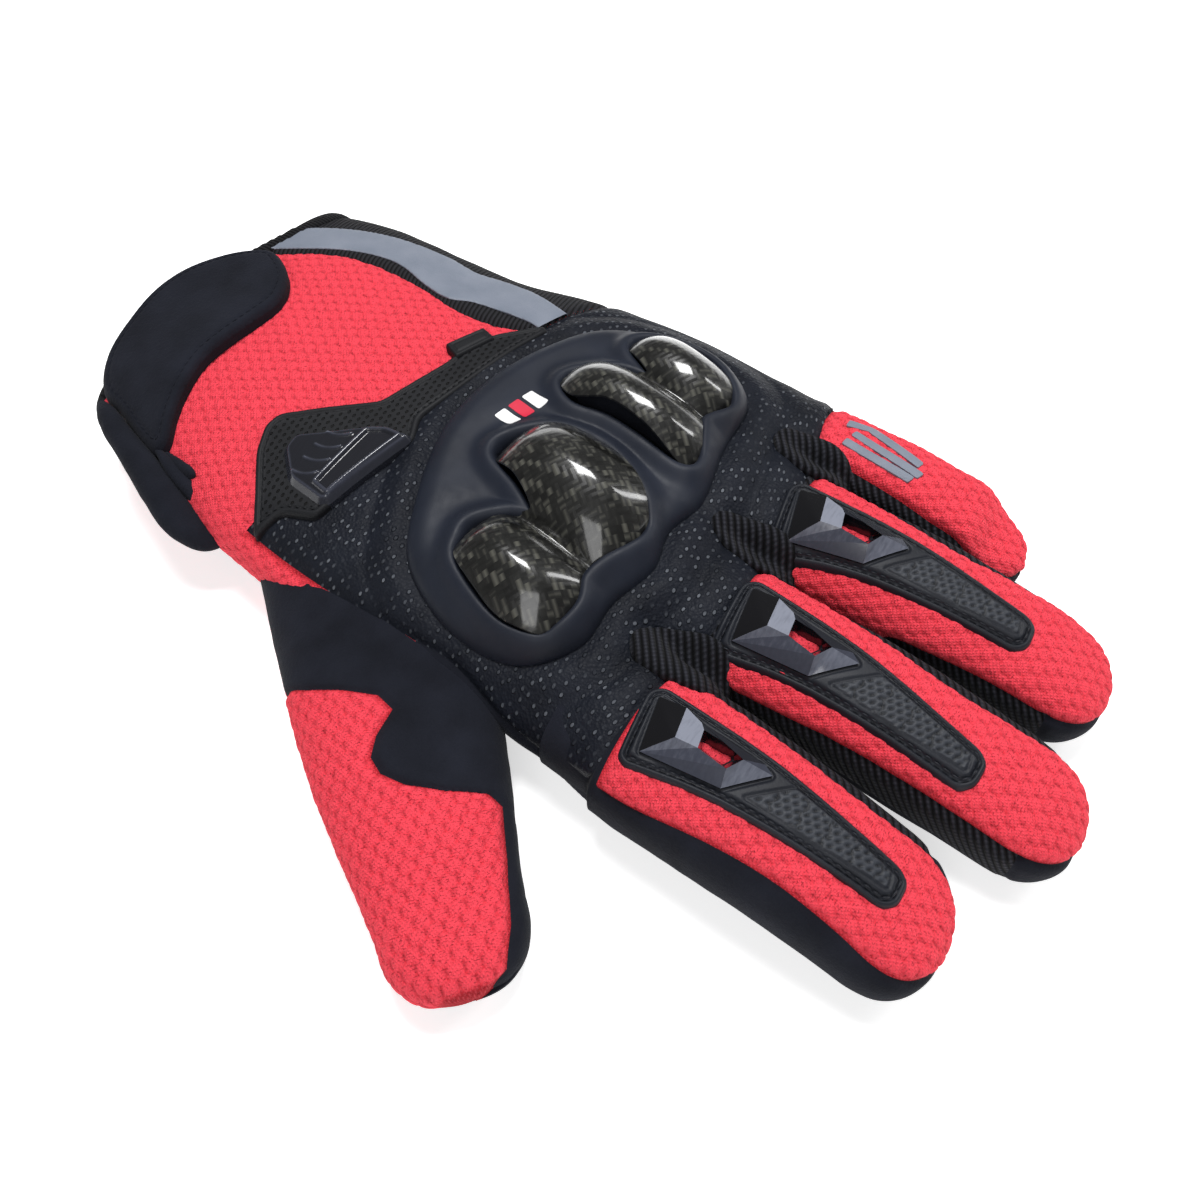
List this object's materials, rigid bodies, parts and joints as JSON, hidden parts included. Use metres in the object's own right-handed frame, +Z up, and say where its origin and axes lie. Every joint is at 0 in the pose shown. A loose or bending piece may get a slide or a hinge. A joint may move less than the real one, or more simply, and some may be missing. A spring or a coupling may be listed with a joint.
{
  "type": "riding glove",
  "caption": "Full-finger motorcycle riding glove, left hand, with carbon knuckle shells, finger guards, wrist guard, mesh back and strap closure.",
  "frame": {"origin": "on the flat palm face that the glove rests on, under the middle of the palm", "axes": "+X to the thumb side, +Y to the fingertips, +Z up off the back of the hand"},
  "size_m": [0.1651, 0.2436, 0.0455],
  "materials": {
    "suede_black": "fine napped synthetic suede",
    "leather_black": "smooth grained synthetic leather",
    "dotted_leather": "grained synthetic leather with small grey raised dots",
    "red_mesh": "thick 3-D knit mesh",
    "black_elastic": "ribbed elastic knit",
    "binding_tape": "woven tape",
    "loop_tape": "loop pile",
    "hook_tape": "moulded hooks",
    "guard_pu": "soft matte moulded polyurethane",
    "carbon": "clear-coated twill weave",
    "foam": "closed-cell foam",
    "emblem_print": "raised print",
    "guard_rubber": "moulded thermoplastic rubber",
    "gloss_black": "polished",
    "reflective_grey": "retro-reflective film",
    "ribbed_knit": "diagonal-ribbed stretch knit"
  },
  "bodies": {
    "hand": {"palm_panel": "suede_black", "palm_grip_patch": "leather_black", "back_panel": "dotted_leather", "wrist_mesh_panel": "red_mesh", "outer_wrist_gusset": "black_elastic", "cuff_binding": "binding_tape", "cuff_fold": "suede_black", "strap_anchor": "suede_black", "strap_loop_patch": "loop_tape", "knuckle_guard_frame": "guard_pu", "carbon_shell_index_middle": "carbon", "carbon_shell_ring_little": "carbon", "knuckle_foam_pads": "foam", "knuckle_emblem": "emblem_print", "wrist_guard_plate": "guard_rubber", "wrist_guard_badge": "guard_rubber", "reflective_band": "reflective_grey", "fourchette_tongues": "ribbed_knit", "thumb_back_base": "red_mesh", "thumb_front_base": "suede_black"},
    "strap": {"closure_strap": "suede_black", "strap_hook_patch": "hook_tape"},
    "thumb_proximal": {"thumb_back_proximal": "red_mesh", "thumb_front_proximal": "suede_black"},
    "thumb_tip": {"thumb_back_tip": "red_mesh", "thumb_front_tip": "suede_black"},
    "index_proximal": {"index_back_proximal": "red_mesh", "index_front_proximal": "suede_black", "index_sides_proximal": "ribbed_knit", "index_guard_plate": "guard_rubber", "index_guard_insert": "gloss_black"},
    "index_distal": {"index_back_distal": "red_mesh", "index_front_distal": "suede_black", "index_sides_distal": "ribbed_knit", "index_guard_tail": "guard_rubber"},
    "middle_proximal": {"middle_back_proximal": "red_mesh", "middle_front_proximal": "suede_black", "middle_sides_proximal": "ribbed_knit", "middle_guard_plate": "guard_rubber", "middle_guard_insert": "gloss_black"},
    "middle_distal": {"middle_back_distal": "red_mesh", "middle_front_distal": "suede_black", "middle_sides_distal": "ribbed_knit", "middle_guard_tail": "guard_rubber"},
    "ring_proximal": {"ring_back_proximal": "red_mesh", "ring_front_proximal": "suede_black", "ring_sides_proximal": "ribbed_knit", "ring_guard_plate": "guard_rubber", "ring_guard_insert": "gloss_black"},
    "ring_distal": {"ring_back_distal": "red_mesh", "ring_front_distal": "suede_black", "ring_sides_distal": "ribbed_knit", "ring_guard_tail": "guard_rubber"},
    "little_proximal": {"little_back_proximal": "red_mesh", "little_front_proximal": "suede_black", "little_sides_proximal": "ribbed_knit", "little_reflective_print": "reflective_grey"},
    "little_distal": {"little_back_distal": "red_mesh", "little_front_distal": "suede_black", "little_sides_distal": "ribbed_knit"}
  },
  "joints": [
    {"name": "index_knuckle", "type": "hinge", "parent": "hand", "child": "index_proximal", "pos_m": [0.0422, 0.046, 0.014], "axis": [-1, 0, 0], "range_deg": [0, 50]},
    {"name": "index_middle_joint", "type": "hinge", "parent": "index_proximal", "child": "index_distal", "pos_m": [0.0436, 0.074, 0.014], "axis": [-1, 0, 0], "range_deg": [0, 65]},
    {"name": "middle_knuckle", "type": "hinge", "parent": "hand", "child": "middle_proximal", "pos_m": [0.0093, 0.046, 0.014], "axis": [-1, 0, 0], "range_deg": [0, 50]},
    {"name": "middle_middle_joint", "type": "hinge", "parent": "middle_proximal", "child": "middle_distal", "pos_m": [0.011, 0.08, 0.014], "axis": [-1, 0, 0], "range_deg": [0, 65]},
    {"name": "ring_knuckle", "type": "hinge", "parent": "hand", "child": "ring_proximal", "pos_m": [-0.0208, 0.046, 0.014], "axis": [-1, 0, 0], "range_deg": [0, 50]},
    {"name": "ring_middle_joint", "type": "hinge", "parent": "ring_proximal", "child": "ring_distal", "pos_m": [-0.0198, 0.076, 0.014], "axis": [-1, 0, 0], "range_deg": [0, 65]},
    {"name": "little_knuckle", "type": "hinge", "parent": "hand", "child": "little_proximal", "pos_m": [-0.0476, 0.046, 0.014], "axis": [-1, 0, 0], "range_deg": [0, 50]},
    {"name": "little_middle_joint", "type": "hinge", "parent": "little_proximal", "child": "little_distal", "pos_m": [-0.0469, 0.067, 0.014], "axis": [-1, 0, 0], "range_deg": [0, 65]},
    {"name": "thumb_swing", "type": "hinge", "parent": "hand", "child": "thumb_proximal", "pos_m": [0.06422, -0.0025, 0.01], "axis": [0, 0, 1], "range_deg": [-11, 10]},
    {"name": "thumb_tip_joint", "type": "hinge", "parent": "thumb_proximal", "child": "thumb_tip", "pos_m": [0.08165, 0.01941, 0.008], "axis": [-0.7826, 0.6225, 0], "range_deg": [0, 60]},
    {"name": "strap_hinge", "type": "hinge", "parent": "hand", "child": "strap", "pos_m": [0.03325, -0.096, 0.02931], "axis": [0.2567, 0.9665, 0], "range_deg": [0, 110]}
  ]
}
